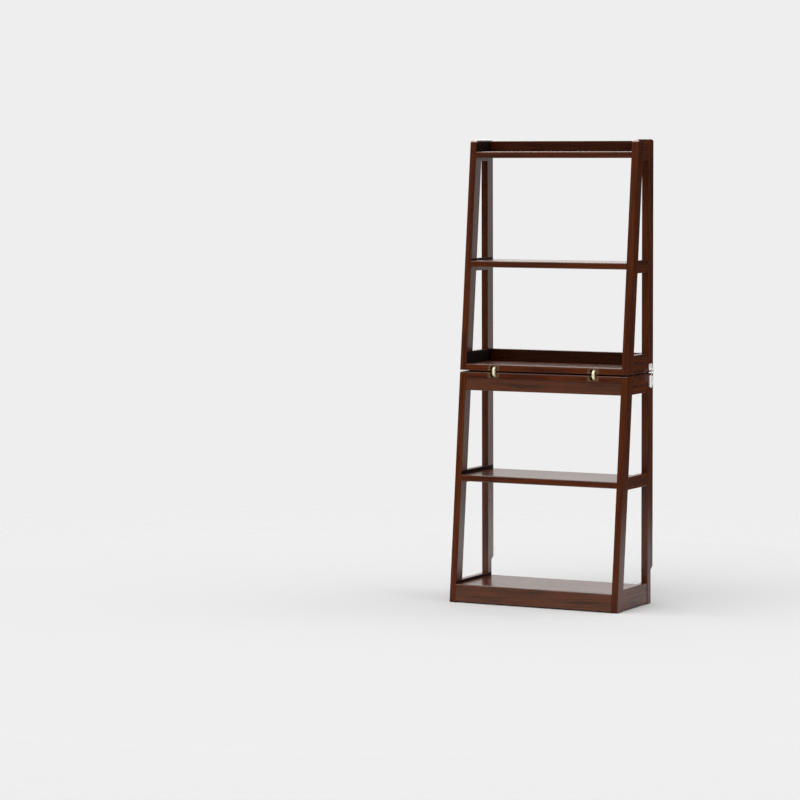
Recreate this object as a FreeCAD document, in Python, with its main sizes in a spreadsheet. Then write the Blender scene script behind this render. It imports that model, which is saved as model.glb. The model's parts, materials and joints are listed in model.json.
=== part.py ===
import FreeCAD, Part
import os
import re
from math import cos, pi, sin

import Sketcher

# A folding display rack in two halves. The lower half stands on the floor with a vertical back and a
# sloping front. The upper half carries the slope on and stands on the lower one. Two double-pin
# hinges in the front edges of the seam let it swing forward and down until it stands upside down in
# front of the lower half, and a draw latch on each side face holds the seam shut.
#
# Places are counted from the left front corner of the floor plan: x to the right, y to the back and
# z up. Each piece is then set so that the frame's origin lies on the floor, under the middle.
#
# Inside a half, heights are levels: they are counted from its far end towards the seam, so the lower
# half's levels start at the floor and the upper half's at the top. Folded, equal levels meet.

SIZES = {
    # Overall
    "width": 600,
    "depth": 280,
    "half_height": 750,
    "front_run_share": 0.2857,
    "seam_gap": 5,
    "folded_gap": 2,
    # Frame members and boards
    "post_width": 22.5,
    "post_depth": 42,
    "rail_thickness": 21,
    "board_thickness": 21,
    "arris": 1.5,
    "lip_round": 4,
    "end_round": 8,
    # Levels
    "base_shelf_level": 60,
    "middle_shelf_level": 415,
    "base_rail_rise": 10,
    "middle_rail_rise": 13,
    "middle_rail_height": 41,
    "seam_band": 60,
    "floor_reveal": 4,
    "crown_drop": 5,
    # Aprons
    "apron_thickness": 18,
    "apron_recess": 2,
    # Relief for a skirting board at the foot of the rear posts
    "skirting_height": 110,
    "skirting_depth": 15,
    "skirting_slope": 12,
    # Tenons and dowels
    "tenon_length": 12,
    "tenon_thickness": 8,
    "tenon_shoulder": 6,
    "tenon_room": 1,
    "dowel_radius": 4,
    "dowel_length": 30,
    "dowel_seat": 12,
    "dowel_inset": 25,
    "dowel_play": 0.05,
    "dowel_room": 0.5,
    # Rubber pads that fill the seam
    "pad_radius": 6,
    "pad_inset": 20,
    # Hinges
    "hinge_inset": 122,
    "leaf_width": 41,
    "leaf_height": 18,
    "leaf_thickness": 2,
    "leaf_corner": 4,
    "leaf_fit": 0.2,
    "cup_width": 26,
    "cup_wall": 1.5,
    "cup_corner": 8,
    "pin_drop": 4,
    "pin_radius": 2,
    "pin_fit": 0.02,
    "pin_play": 0.05,
    "link_length": 34,
    "link_width": 9,
    "link_round": 4.6,
    "link_bow": 15,
    "link_forward": 1.2,
    "link_edge": 3,
    "link_sink": 0.3,
    "link_room": 2,
    "washer_radius": 3.5,
    "washer_room": 0.25,
    "hinge_screw_head": 3.2,
    "hinge_screw_cone": 1.6,
    "hinge_screw_shank": 1.5,
    "hinge_screw_length": 16,
    # Latches on the side faces
    "latch_width": 15,
    "latch_height": 38,
    "latch_drop": 6,
    "latch_plate": 1.5,
    "latch_corner": 3,
    "latch_screw_head": 2.2,
    "latch_screw_cone": 1.1,
    "latch_screw_shank": 1.2,
    "latch_screw_length": 9,
    "latch_screw_inset": 3.6,
    "latch_screw_drop": 17,
    "ear_gap": 5,
    "ear_wall": 1.2,
    "ear_round": 2,
    "ear_corner": 1.6,
    "lever_width": 10.6,
    "lever_wall": 1.2,
    "lever_reach": 10,
    "lever_shoulder": 1.8,
    "lever_top_drop": 7.9,
    "lever_tip_drop": 46,
    "lever_tip_reach": 3.2,
    "lever_cheek": 2.4,
    "lever_slot_radius": 2,
    "lever_slot_top_drop": 25,
    "lever_slot_bottom_drop": 36,
    "pivot_reach": 5.5,
    "pivot_drop": 10.5,
    "pivot_radius": 1,
    "pivot_overhang": 0.5,
    # Wire loops of the latches
    "wire_radius": 0.9,
    "wire_bend": 1.6,
    "wire_room": 0.8,
    "loop_reach": 4.8,
    "loop_drop": 17.5,
    "loop_stub": 0.15,
    # Keepers of the latches
    "keeper_width": 26,
    "keeper_height": 22,
    "keeper_corner": 8,
    "keeper_lift": 5,
    "keeper_screw_gap": 16,
    "keeper_screw_lift": 14,
    "hook_width": 9,
    "hook_thickness": 1.5,
    "hook_reach": 7,
    "hook_rise": 7.5,
    "hook_bend": 1.4,
    "hook_room": 0.3,
    "lip_room": 0.6,
    # Cross recesses in the screw heads, as shares of the head's radius and of its cone's height
    "recess_width_share": 0.3,
    "recess_reach_share": 0.7,
    "recess_depth_share": 0.6,
    # How far a cutting shape runs past the surface that it opens
    "overrun": 3,
}

WORDS = re.compile(r"\b(?:" + "|".join(SIZES) + r")\b")

# Sketches start from rough unit geometry, which their constraints then move into place.
ROUGH = 1.0
ROUGH_BOW = 2.5
ROUGH_ANGLE = pi / 3

# How nearly a direction must agree with an axis, and a place with a face, to count as on it
AXIS_SHARE = 0.9
FACE_TOLERANCE = 0.01

VIEWS = {"side": "YZ_Plane", "face": "XZ_Plane", "plan": "XY_Plane"}
X_AXIS = FreeCAD.Vector(1, 0, 0)
Y_AXIS = FreeCAD.Vector(0, 1, 0)
Z_AXIS = FreeCAD.Vector(0, 0, 1)
QUARTER_TURN = 90

doc = FreeCAD.newDocument("FoldingDisplayRack")
sheet = doc.addObject("Spreadsheet::Sheet", "Sizes")
for row, (word, value) in enumerate(SIZES.items(), start=1):
    sheet.set(f"A{row}", word)
    sheet.set(f"B{row}", str(value))
    sheet.setAlias(f"B{row}", word)
doc.recompute()

nodes = {}

# How far the front leans back over the height of a half
FRONT_RUN = "(depth * front_run_share)"


# Formulas and places

def bind(item, path, text):
    """Bind a property of an item to a formula written in the sheet's words."""
    item.setExpression(path, WORDS.sub(r"Sizes.\g<0>", str(text)))


def stand(item, x="0", y="0", z="0"):
    """Set an item at a place counted from the left front corner of the floor plan."""
    bind(item, "Placement.Base.x", f"{x} - width / 2")
    bind(item, "Placement.Base.y", f"{y} - depth / 2")
    bind(item, "Placement.Base.z", z)
    return item


def turn(item, axis, angle):
    """Turn an item about an axis before it is set in place."""
    item.Placement = FreeCAD.Placement(FreeCAD.Vector(), FreeCAD.Rotation(axis, angle))
    return item


def height(half, level):
    """Give the height over the floor of a level of a half."""
    if half == "lower":
        return f"({level})"
    return f"(2 * half_height + seam_gap - ({level}))"


def front(half, level, behind="0"):
    """Give the depth of a place that lies behind the sloping front plane at a level."""
    reach = level if half == "lower" else f"2 * half_height - ({level})"
    return f"({FRONT_RUN} * ({reach}) / half_height + ({behind}))"


def sloping(half, behind="0"):
    """Give a face parallel to the front plane, as a function of the level."""
    return lambda level: front(half, level, behind)


def upright(place):
    """Give a vertical face, as a function of the level."""
    return lambda level: place


def band(half, low, high, near, rear):
    """Give the side outline between two levels and two faces."""
    return [
        (near(low), height(half, low)),
        (near(high), height(half, high)),
        (rear(high), height(half, high)),
        (rear(low), height(half, low)),
    ]


# Sketches. The side view shows y and z, the face view x and z, and the plan x and y.

def plane(body, view):
    """Find the body's own origin plane for a view."""
    return next(item for item in body.Origin.OriginFeatures if item.Role == VIEWS[view])


def new_sketch(body, label, view, start="0"):
    """Add an empty sketch whose plane lies at the place start along the view."""
    sketch = body.newObject("Sketcher::SketchObject", label)
    sketch.AttachmentSupport = [(plane(body, view), "")]
    sketch.MapMode = "FlatFace"
    sign = "-" if view == "face" else ""
    bind(sketch, "AttachmentOffset.Base.z", f"{sign}({start})")
    return sketch


def hold_one_way(sketch, kind, geometry, point, text, now):
    """Hold a point of a sketch at a formula across or up from the sketch's origin."""
    index = sketch.addConstraint(Sketcher.Constraint(kind, -1, 1, geometry, point, now))
    bind(sketch, f"Constraints[{index}]", text)


def hold(sketch, geometry, point, across, up):
    """Hold a point of a sketch at formulas across and up from the sketch's origin."""
    rough = sketch.getPoint(geometry, point)
    hold_one_way(sketch, "DistanceX", geometry, point, across, rough.x)
    hold_one_way(sketch, "DistanceY", geometry, point, up, rough.y)


def hold_radius(sketch, geometry, radius):
    """Hold the radius of an arc at a formula."""
    index = sketch.addConstraint(Sketcher.Constraint("Radius", geometry, ROUGH))
    bind(sketch, f"Constraints[{index}]", radius)


def rough_line(sketch, x1, y1, x2, y2):
    """Add a line between two rough places."""
    start = FreeCAD.Vector(x1, y1, 0)
    end = FreeCAD.Vector(x2, y2, 0)
    return sketch.addGeometry(Part.LineSegment(start, end), False)


def rough_arc(sketch, x, y, start, end, radius=ROUGH):
    """Add an arc of rough radius about a rough place."""
    circle = Part.Circle(FreeCAD.Vector(x, y, 0), Z_AXIS, radius)
    return sketch.addGeometry(Part.ArcOfCircle(circle, start, end), False)


def draw_outline(body, label, view, corners, start="0"):
    """Sketch a closed outline with its corners held by formulas."""
    sketch = new_sketch(body, label, view, start)
    count = len(corners)
    for index in range(count):
        following = (index + 1) % count
        rough_line(sketch, index, index * index, following, following * following)
    for index in range(count):
        sketch.addConstraint(Sketcher.Constraint("Coincident", index, 2, (index + 1) % count, 1))
    for index, (across, up) in enumerate(corners):
        hold(sketch, index, 1, across, up)
    return sketch


def draw_capsule(body, label, view, across, low, high, radius, start="0"):
    """Sketch an upright capsule: two half circles joined by straight sides."""
    sketch = new_sketch(body, label, view, start)
    bottom = rough_arc(sketch, 0, 0, pi, 2 * pi)
    top = rough_arc(sketch, 0, 2 * ROUGH, 0, pi)
    right = rough_line(sketch, ROUGH, 0, ROUGH, 2 * ROUGH)
    left = rough_line(sketch, -ROUGH, 2 * ROUGH, -ROUGH, 0)
    for first, second in ((bottom, right), (right, top), (top, left), (left, bottom)):
        sketch.addConstraint(Sketcher.Constraint("Tangent", first, 2, second, 1))
    sketch.addConstraint(Sketcher.Constraint("Equal", bottom, top))
    hold(sketch, bottom, 3, across, low)
    hold(sketch, top, 3, across, high)
    hold_radius(sketch, bottom, radius)
    return sketch


def draw_arch(body, label, view, centre, middle, across, out, radius, start="0"):
    """Sketch an arched capsule: two half circles joined by arcs about one centre behind them."""
    sketch = new_sketch(body, label, view, start)
    bow = ROUGH_BOW
    half = ROUGH_ANGLE
    low = rough_arc(sketch, -bow * cos(half), -bow * sin(half), pi + half, 2 * pi + half)
    high = rough_arc(sketch, -bow * cos(half), bow * sin(half), -half, pi - half)
    fore = rough_arc(sketch, 0, 0, pi - half, pi + half, bow + ROUGH)
    rear = rough_arc(sketch, 0, 0, pi - half, pi + half, bow - ROUGH)
    joints = ((fore, 2, low, 1), (low, 2, rear, 2), (rear, 1, high, 1), (high, 2, fore, 1))
    for first, first_end, second, second_end in joints:
        sketch.addConstraint(Sketcher.Constraint("Tangent", first, first_end, second, second_end))
    sketch.addConstraint(Sketcher.Constraint("Coincident", fore, 3, rear, 3))
    hold(sketch, fore, 3, centre, middle)
    hold(sketch, low, 3, across, f"{middle} - {out}")
    hold_one_way(sketch, "DistanceY", high, 3, f"{middle} + {out}", bow * sin(half))
    hold_radius(sketch, low, radius)
    return sketch


# Edge choices, for rounding

def runs(edge, axis):
    """Tell whether an edge runs along an axis."""
    return abs(edge.tangentAt(edge.FirstParameter).dot(axis)) > AXIS_SHARE


def is_straight(edge):
    """Tell whether an edge is a straight line."""
    return edge.Curve.TypeId == "Part::GeomLine"


def choose(feature, test):
    """Name the edges of a feature that pass a test."""
    return [f"Edge{index}" for index, edge in enumerate(feature.Shape.Edges, start=1) if test(edge)]


def near_limit(value, limit):
    """Tell whether a place lies on a limit."""
    return abs(value - limit) < FACE_TOLERANCE


# Bodies

def pad(body, label, sketch, view, thick):
    """Pad a sketch to a thickness, in the direction in which its view looks."""
    feature = body.newObject("PartDesign::Pad", label)
    feature.Profile = sketch
    feature.Reversed = view == "face"
    bind(feature, "Length", thick)
    doc.recompute()
    return feature


def round_edges(body, label, feature, names, radius):
    """Round the named edges of a feature."""
    fillet = body.newObject("PartDesign::Fillet", label)
    fillet.Base = (feature, names)
    bind(fillet, "Radius", radius)
    doc.recompute()
    return fillet


def new_body(label):
    """Add a body that sits in the floor plan's corner frame."""
    return stand(doc.addObject("PartDesign::Body", label))


def slab(label, view, corners, start, thick, *rounds):
    """Pad an outline into a body, and round the edges that each (test, radius) pair picks."""
    body = new_body(label)
    sketch = draw_outline(body, f"{label}_outline", view, corners, start)
    blank = pad(body, f"{label}_pad", sketch, view, thick)
    box = blank.Shape.BoundBox
    feature = blank
    for index, (test, radius) in enumerate(rounds, start=1):
        names = choose(feature, lambda edge: test(edge, box))
        feature = round_edges(body, f"{label}_round_{index}", feature, names, radius)
    return body


def add_slab(body, label, view, corners, start, thick):
    """Pad one more outline onto a body."""
    sketch = draw_outline(body, f"{label}_outline", view, corners, start)
    pad(body, f"{label}_pad", sketch, view, thick)
    return body


def cylinder(label, radius, length, axis, x, y, z):
    """Set a cylinder with its first end at a place, its length along an axis."""
    item = doc.addObject("Part::Cylinder", label)
    if axis == "x":
        turn(item, Y_AXIS, QUARTER_TURN)
    if axis == "y":
        turn(item, X_AXIS, -QUARTER_TURN)
    bind(item, "Radius", radius)
    bind(item, "Height", length)
    return stand(item, x, y, z)


def fuse(label, items):
    """Join items into one solid, or several where they lie apart."""
    item = doc.addObject("Part::MultiFuse", label)
    item.Shapes = list(items)
    return item


def group(label, items):
    """Keep items as separate solids of one sub-part."""
    item = doc.addObject("Part::Compound", label)
    item.Links = list(items)
    return item


def cut(label, base, *tools):
    """Cut tools out of a base."""
    item = doc.addObject("Part::Cut", label)
    item.Base = base
    item.Tool = tools[0] if len(tools) == 1 else fuse(f"{label}_tools", tools)
    return item


def mirror(label, source):
    """Mirror a right-hand item to the left."""
    item = doc.addObject("Part::Mirroring", label)
    item.Source = source
    item.Normal = X_AXIS
    item.Base = FreeCAD.Vector()
    return item


def keep(label, item):
    """Keep a finished sub-part under its own label."""
    item.Label = label
    nodes[label] = item
    return item


def keep_pair(label, item):
    """Keep a right-hand sub-part and its left-hand mirror image."""
    keep(f"{label}_right", item)
    keep(f"{label}_left", mirror(f"{label}_mirrored", item))


def keep_set(label, items):
    """Keep right-hand pieces and their mirror images as one sub-part of separate solids."""
    right = group(f"{label}_right_hand", items)
    keep(label, group(f"{label}_set", [right, mirror(f"{label}_left_hand", right)]))


# Screws. Each is turned about its own axis with the head's face at the origin, pointing down.

def screw_body(label, kind, fit="0"):
    """Turn a countersunk screw, or with a fit the hole that it drives into."""
    body = doc.addObject("PartDesign::Body", label)
    half = [
        ("0", "0"),
        (f"{kind}_screw_head + {fit}", "0"),
        (f"{kind}_screw_shank + {fit}", f"-{kind}_screw_cone"),
        (f"{kind}_screw_shank + {fit}", f"-{kind}_screw_length - {fit}"),
        ("0", f"-{kind}_screw_length - {fit}"),
    ]
    sketch = draw_outline(body, f"{label}_outline", "face", half)
    feature = body.newObject("PartDesign::Revolution", f"{label}_turned")
    feature.Profile = sketch
    feature.ReferenceAxis = (sketch, ["V_Axis"])
    doc.recompute()
    return body


def add_cross_recess(body, label, kind):
    """Press a cross recess into a screw's head."""
    reach = f"{kind}_screw_head * recess_reach_share"
    breadth = f"{kind}_screw_head * recess_width_share / 2"
    for arm, across, up in (("first", reach, breadth), ("second", breadth, reach)):
        corners = [
            (f"-{across}", f"-{up}"),
            (across, f"-{up}"),
            (across, up),
            (f"-{across}", up),
        ]
        sketch = draw_outline(body, f"{label}_{arm}_arm", "plan", corners)
        feature = body.newObject("PartDesign::Pocket", f"{label}_{arm}_pocket")
        feature.Profile = sketch
        bind(feature, "Length", f"{kind}_screw_cone * recess_depth_share")
        doc.recompute()


def screw_pair(label, kind, set_in_place):
    """Make a screw and the shape of its hole, both set in place alike."""
    screw = screw_body(label, kind)
    add_cross_recess(screw, label, kind)
    hole = screw_body(f"{label}_hole", kind, "pin_fit")
    set_in_place(screw)
    set_in_place(hole)
    return screw, hole


# Dowels, which join each cross board to the side frames

LEG_MIDDLE = "post_depth / 2"
SEAM_BOARD_MIDDLE = "(half_height - board_thickness / 2)"
MIDDLE_SHELF_MIDDLE = "(middle_shelf_level - board_thickness / 2)"
BASE_SHELF_MIDDLE = "(base_shelf_level - board_thickness / 2)"
APRON_MIDDLE = "(half_height - (seam_band + board_thickness) / 2)"
PLINTH_MIDDLE = "((base_shelf_level + floor_reveal) / 2)"
CROWN_MIDDLE = "((base_shelf_level + crown_drop) / 2)"
POST_FRONT = "depth - post_depth"
POST_MIDDLE = "depth - post_depth / 2"


def dowel_places(half):
    """List the depth and the level of each dowel of one side."""
    places = [
        (front(half, SEAM_BOARD_MIDDLE, LEG_MIDDLE), SEAM_BOARD_MIDDLE),
        (POST_MIDDLE, SEAM_BOARD_MIDDLE),
        (front(half, MIDDLE_SHELF_MIDDLE, LEG_MIDDLE), MIDDLE_SHELF_MIDDLE),
        (POST_MIDDLE, MIDDLE_SHELF_MIDDLE),
        (front(half, BASE_SHELF_MIDDLE, "post_depth + dowel_inset"), BASE_SHELF_MIDDLE),
        (f"{POST_FRONT} - dowel_inset", BASE_SHELF_MIDDLE),
        ("depth - apron_recess - apron_thickness / 2", APRON_MIDDLE),
    ]
    if half == "lower":
        places += [
            (front(half, APRON_MIDDLE, "apron_recess + apron_thickness / 2"), APRON_MIDDLE),
            (front(half, PLINTH_MIDDLE, "board_thickness / 2"), PLINTH_MIDDLE),
            ("depth - skirting_depth - 2 * dowel_radius", PLINTH_MIDDLE),
        ]
    else:
        places += [("depth - board_thickness / 2", CROWN_MIDDLE)]
    return places


def make_dowels(half):
    """Make the dowels of a half, and return their holes on the right and on both sides."""
    dowels = []
    holes = []
    board_end = "width - post_width - (dowel_length - dowel_seat)"
    for index, (y, level) in enumerate(dowel_places(half), start=1):
        label = f"{half}_dowel_{index}"
        z = height(half, level)
        dowels.append(cylinder(label, "dowel_radius", "dowel_length", "x", board_end, y, z))
        radius = "dowel_radius + dowel_play"
        length = "dowel_length + 2 * dowel_room"
        start = f"{board_end} - dowel_room"
        holes.append(cylinder(f"{label}_hole", radius, length, "x", start, y, z))
    keep_set(f"{half}_dowels", dowels)
    right = group(f"{half}_dowel_holes_right", holes)
    return right, [right, mirror(f"{half}_dowel_holes_left", right)]


# Side frames: a sloping leg, a vertical post and three rails with tenons

FRAME_INSIDE = "width - post_width"


def top_round(half):
    """Name the rounding of the top of a half."""
    return "lip_round" if half == "lower" else "end_round"


def end_rounds(half, rail_behind):
    """Give the rounding of a leg or post: softer at its top, but not at the rail, an arris elsewhere."""
    def at_rail(edge, box):
        return near_limit(edge.CenterOfMass.y, box.YMax if rail_behind else box.YMin)

    def at_top(edge, box):
        return near_limit(edge.CenterOfMass.z, box.ZMax) and is_straight(edge) and not at_rail(edge, box)

    def below_top(edge, box):
        if not is_straight(edge):
            return False
        return near_limit(edge.CenterOfMass.z, box.ZMin) or not (runs(edge, X_AXIS) or runs(edge, Y_AXIS))

    return [(at_top, top_round(half)), (below_top, "arris")]


def make_rail(half, label, low, high):
    """Make a rail between leg and post, and the shape of the mortises for its tenons."""
    thick = "rail_thickness"
    leg_back = sloping(half, "post_depth")
    corners = band(half, low, high, leg_back, upright(POST_FRONT))

    def low_edge(edge, box):
        return runs(edge, Y_AXIS) and near_limit(edge.CenterOfMass.z, box.ZMin)

    def high_edge(edge, box):
        return runs(edge, Y_AXIS) and near_limit(edge.CenterOfMass.z, box.ZMax)

    high_round = top_round(half) if label == "upper_top_rail" else "arris"
    rounds = [(low_edge, "arris"), (high_edge, high_round)]
    rail = slab(f"{label}_body", "side", corners, FRAME_INSIDE, thick, *rounds)
    tongue_start = f"{FRAME_INSIDE} + (rail_thickness - tenon_thickness) / 2"
    tongue_low = f"{low} + tenon_shoulder"
    tongue_high = f"{high} - tenon_shoulder"
    tongue = band(
        half, tongue_low, tongue_high,
        sloping(half, "post_depth - tenon_length"), upright(f"{POST_FRONT} + tenon_length"))
    add_slab(rail, f"{label}_tongue", "side", tongue, tongue_start, "tenon_thickness")
    mortise = band(
        half, tongue_low, tongue_high,
        sloping(half, "post_depth - tenon_length - tenon_room"),
        upright(f"{POST_FRONT} + tenon_length + tenon_room"))
    tool = slab(f"{label}_mortise", "side", mortise, tongue_start, "tenon_thickness")
    return rail, tool


def post_outline(half):
    """Outline a rear post: the lower one steps back above a skirting board."""
    if half == "upper":
        return band(half, "0", "half_height", upright(POST_FRONT), upright("depth"))
    return [
        (POST_FRONT, "0"),
        ("depth - skirting_depth", "0"),
        ("depth - skirting_depth", "skirting_height"),
        ("depth", "skirting_height + skirting_slope"),
        ("depth", "half_height"),
        (POST_FRONT, "half_height"),
    ]


def make_frame(half, dowel_holes, post_holes):
    """Make the right-hand side frame of a half, and mirror it."""
    names = {"lower": ("bottom", "top"), "upper": ("top", "bottom")}[half]
    base_low = "floor_reveal" if half == "lower" else "0"
    rail_levels = {
        names[0]: (base_low, "base_shelf_level + base_rail_rise"),
        "middle": (
            "middle_shelf_level + middle_rail_rise - middle_rail_height",
            "middle_shelf_level + middle_rail_rise"),
        names[1]: ("half_height - seam_band", "half_height"),
    }
    mortises = []
    for place, (low, high) in rail_levels.items():
        label = f"{half}_{place}_rail"
        rail, mortise = make_rail(half, label, low, high)
        mortises.append(mortise)
        keep_pair(label, cut(f"{label}_drilled", rail, dowel_holes))
    leg = band(half, "0", "half_height", sloping(half), sloping(half, "post_depth"))
    for label, corners, holes, rail_behind in (
            (f"{half}_front_leg", leg, [], True),
            (f"{half}_rear_post", post_outline(half), post_holes, False)):
        rounds = end_rounds(half, rail_behind)
        body = slab(f"{label}_body", "side", corners, FRAME_INSIDE, "post_width", *rounds)
        keep_pair(label, cut(f"{label}_mortised", body, *mortises, dowel_holes, *holes))


# Boards between the side frames

def make_board(label, corners, tools, *rounds):
    """Make a board between the side frames, with its tools cut out and its long edges rounded."""
    length = "width - 2 * post_width"
    body = slab(f"{label}_body", "side", corners, "post_width", length, *rounds)
    keep(label, cut(f"{label}_drilled", body, *tools))


def long_edge(edge, box):
    """Pick every edge along the board."""
    return runs(edge, X_AXIS)


def front_long_edge(edge, box):
    """Pick the edges along the front of the board."""
    return runs(edge, X_AXIS) and edge.CenterOfMass.y < box.Center.y


def lip_edge(edge, box):
    """Pick the upper edge along the front of the board."""
    return front_long_edge(edge, box) and edge.CenterOfMass.z > box.Center.z


def foot_edge(edge, box):
    """Pick the lower edge along the front of the board."""
    return front_long_edge(edge, box) and not lip_edge(edge, box)


def back_long_edge(edge, box):
    """Pick the edges along the back of the board."""
    return runs(edge, X_AXIS) and edge.CenterOfMass.y > box.Center.y


def make_boards(half, dowel_holes, hinge_cuts):
    """Make the shelves and the boards that brace them."""
    lower = half == "lower"
    slope = sloping(half)
    back = upright("depth")
    below_board = "half_height - board_thickness"
    seam_board = band(half, below_board, "half_height", slope, back)
    middle = band(half, "middle_shelf_level - board_thickness", "middle_shelf_level", slope, back)
    apron_low = "half_height - seam_band"
    back_apron = band(
        half, apron_low, below_board,
        upright("depth - apron_recess - apron_thickness"), upright("depth - apron_recess"))
    shelf_low = "base_shelf_level - board_thickness"
    all_edges = [(long_edge, "arris")]
    soft_front = [(front_long_edge, "lip_round"), (back_long_edge, "arris")]
    soft_lip = [(lip_edge, "lip_round"), (foot_edge, "arris")]
    seam_edges = [*soft_lip, (back_long_edge, "arris")]
    make_board(f"{half}_middle_shelf", middle, dowel_holes, *soft_front)
    make_board(f"{half}_back_apron", back_apron, dowel_holes, *all_edges)
    if lower:
        front_apron = band(
            half, apron_low, below_board,
            sloping(half, "apron_recess"), sloping(half, "apron_recess + apron_thickness"))
        make_board("lower_top_board", seam_board, dowel_holes + hinge_cuts, *seam_edges)
        make_board("lower_front_apron", front_apron, dowel_holes, *all_edges)
        plinth_back = "depth - skirting_depth"
        shelf = band(
            half, shelf_low, "base_shelf_level",
            sloping(half, "board_thickness"), upright(f"{plinth_back} - board_thickness"))
        make_board("lower_bottom_shelf", shelf, dowel_holes)
        front_plinth = band(
            half, "floor_reveal", "base_shelf_level", slope, sloping(half, "board_thickness"))
        make_board("lower_front_plinth", front_plinth, dowel_holes, *soft_lip)
        back_plinth = band(
            half, "floor_reveal", "base_shelf_level",
            upright(f"{plinth_back} - board_thickness"), upright(plinth_back))
        make_board("lower_back_plinth", back_plinth, dowel_holes, (back_long_edge, "arris"))
    else:
        make_board("upper_tray_board", seam_board, dowel_holes + hinge_cuts, *seam_edges)
        shelf = band(
            half, shelf_low, "base_shelf_level", slope, upright("depth - board_thickness"))
        make_board("upper_top_shelf", shelf, dowel_holes, (front_long_edge, "lip_round"))
        crown = band(
            half, "crown_drop", "base_shelf_level", upright("depth - board_thickness"), back)
        make_board("upper_crown_rail", crown, dowel_holes, *all_edges)


# Pads in the seam

def make_pads(half):
    """Make the rubber pads of a half, which meet those of the other half."""
    z = "half_height" if half == "lower" else "half_height + seam_gap / 2"
    x = f"{FRAME_INSIDE} + rail_thickness / 2"
    pads = [
        cylinder(f"{half}_pad_{place}", "pad_radius", "seam_gap / 2", "z", x, y, z)
        for place, y in (("front", f"{FRONT_RUN} + post_depth + pad_inset"), ("rear", POST_MIDDLE))
    ]
    keep_set(f"{half}_seam_pads", pads)


# Hinges. The pins lie as far behind the front as they must for the halves to fold face to face.

HINGE_MIDDLE = "width - hinge_inset"
PIN_BACK = "(pin_drop + (seam_gap - folded_gap) / 2)"
PIN_OUT = "(pin_drop + seam_gap / 2)"
CUP_INSIDE = f"{FRONT_RUN} + {PIN_BACK} + link_length / 2 - {PIN_OUT} + link_room"
CUP_BACK = f"{CUP_INSIDE} + cup_wall"
PIN_LEVEL = "(half_height - pin_drop)"
LEAF_END = "half_height - leaf_height"


def centred(across):
    """Give the left side of something this wide that is centred on the hinge."""
    return f"{HINGE_MIDDLE} - ({across}) / 2"


def far_corner(half):
    """Pick the edges front to back at the end of a leaf that is away from the seam."""
    def test(edge, box):
        limit = box.ZMin if half == "lower" else box.ZMax
        return runs(edge, Y_AXIS) and near_limit(edge.CenterOfMass.z, limit)
    return test


def front_seam_edge(half):
    """Pick the edge of a leaf along the seam, at the front."""
    def test(edge, box):
        middle = edge.CenterOfMass
        if half == "lower":
            at_seam = near_limit(middle.z, box.ZMax)
            at_front = not near_limit(middle.y, box.YMax)
        else:
            at_seam = near_limit(middle.z, box.ZMin)
            at_front = near_limit(middle.y, box.YMin)
        return runs(edge, X_AXIS) and at_seam and at_front
    return test


def make_leaf(half):
    """Make a hinge leaf, its screws, pin and washers, and return what it cuts into its board."""
    label = f"hinge_leaf_{half}"
    flange = band(half, LEAF_END, "half_height", sloping(half), sloping(half, "leaf_thickness"))
    rounds = [(far_corner(half), "leaf_corner"), (front_seam_edge(half), "arris")]
    leaf = slab(f"{label}_body", "side", flange, centred("leaf_width"), "leaf_width", *rounds)
    behind_flange = sloping(half, "leaf_thickness")
    cup = band(half, LEAF_END, "half_height", behind_flange, upright(CUP_BACK))
    add_slab(leaf, f"{label}_cup", "side", cup, centred("cup_width"), "cup_width")
    cavity = band(
        half, f"{LEAF_END} + cup_wall", "half_height + overrun",
        sloping(half, "-overrun"), upright(CUP_INSIDE))
    inside = "cup_width - 2 * cup_wall"
    hollow = slab(
        f"{label}_hollow", "side", cavity, centred(inside), inside, (far_corner(half), "cup_corner"))
    pin_y = f"{FRONT_RUN} + {PIN_BACK}"
    pin_z = height(half, PIN_LEVEL)
    pin_x = centred("cup_width")
    pin = cylinder(f"{label}_pin", "pin_radius", "cup_width", "x", pin_x, pin_y, pin_z)
    seat = cylinder(
        f"{label}_pin_seat", "pin_radius + pin_fit", "cup_width", "x", pin_x, pin_y, pin_z)
    screws = []
    holes = []
    screw_level = "half_height - leaf_height / 2"
    from_middle = "(cup_width + leaf_width) / 4"
    for side, x in (("inner", f"{HINGE_MIDDLE} - {from_middle}"),
                    ("outer", f"{HINGE_MIDDLE} + {from_middle}")):
        def set_in_front(item, x=x):
            turn(item, X_AXIS, QUARTER_TURN)
            bind(item, "Placement.Rotation.Angle", f"90 deg - atan({FRONT_RUN} / half_height)")
            stand(item, x, front(half, screw_level), height(half, screw_level))
        screw, hole = screw_pair(f"{label}_{side}_screw", "hinge", set_in_front)
        screws.append(screw)
        holes.append(hole)
    keep_pair(label, cut(f"{label}_cut", leaf, hollow, seat, *holes))
    keep_set(f"hinge_pins_{half}", [pin])
    keep_set(f"hinge_screws_{half}", screws)
    make_washers(half, pin_y, pin_z)
    return make_leaf_recess(half, label) + holes


def make_washers(half, pin_y, pin_z):
    """Make the two washers that keep the link in the middle of a pin."""
    length = "((cup_width - link_width) / 2 - cup_wall - 2 * washer_room)"
    washers = []
    for side, x in (("outer", f"{HINGE_MIDDLE} + link_width / 2 + washer_room"),
                    ("inner", f"{HINGE_MIDDLE} - link_width / 2 - washer_room - {length}")):
        label = f"hinge_washer_{half}_{side}"
        disc = cylinder(f"{label}_disc", "washer_radius", length, "x", x, pin_y, pin_z)
        bore = cylinder(f"{label}_bore", "pin_radius + pin_fit", length, "x", x, pin_y, pin_z)
        washers.append(cut(label, disc, bore))
    keep_set(f"hinge_washers_{half}", washers)


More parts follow.
